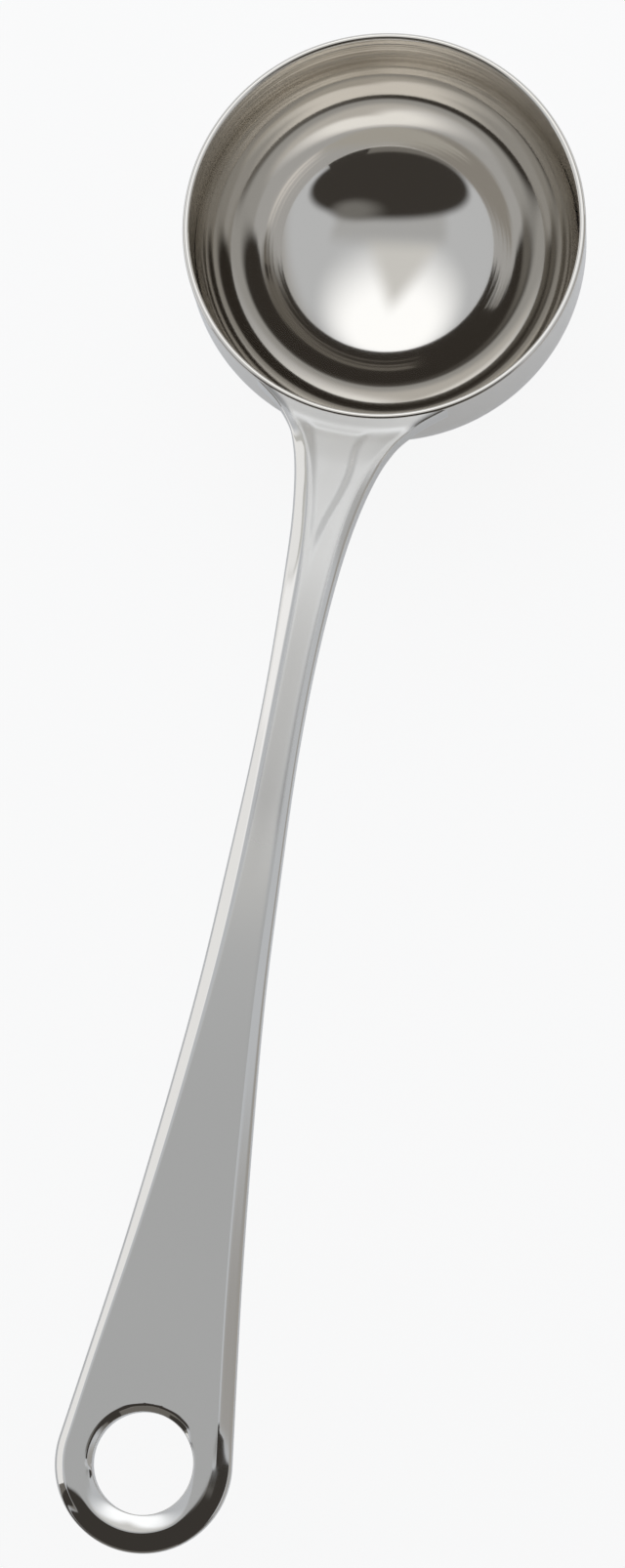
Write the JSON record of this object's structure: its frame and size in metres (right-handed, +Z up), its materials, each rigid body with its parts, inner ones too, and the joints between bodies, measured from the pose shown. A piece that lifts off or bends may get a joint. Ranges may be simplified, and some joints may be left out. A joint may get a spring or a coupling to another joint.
{
  "type": "measuring spoon",
  "caption": "Polished steel scoop: a deep round bowl with a long arched handle that narrows to a waist and widens to a plate with a hanging hole.",
  "frame": {"origin": "centre of the bowl's flat foot, on the surface that it stands on", "axes": "+Z up along the bowl's axis; the handle runs out along -Y; +X to the right of the handle seen from its end"},
  "size_m": [0.0456, 0.1727, 0.0346],
  "materials": {
    "bowl_steel": "mirror-polished stainless sheet, faint turning lines inside",
    "handle_steel": "mirror-polished forged stainless steel",
    "weld_steel": "ground and polished weld"
  },
  "bodies": {
    "root": {"bowl": "bowl_steel", "handle": "handle_steel", "weld_bead": "weld_steel"}
  },
  "joints": []
}
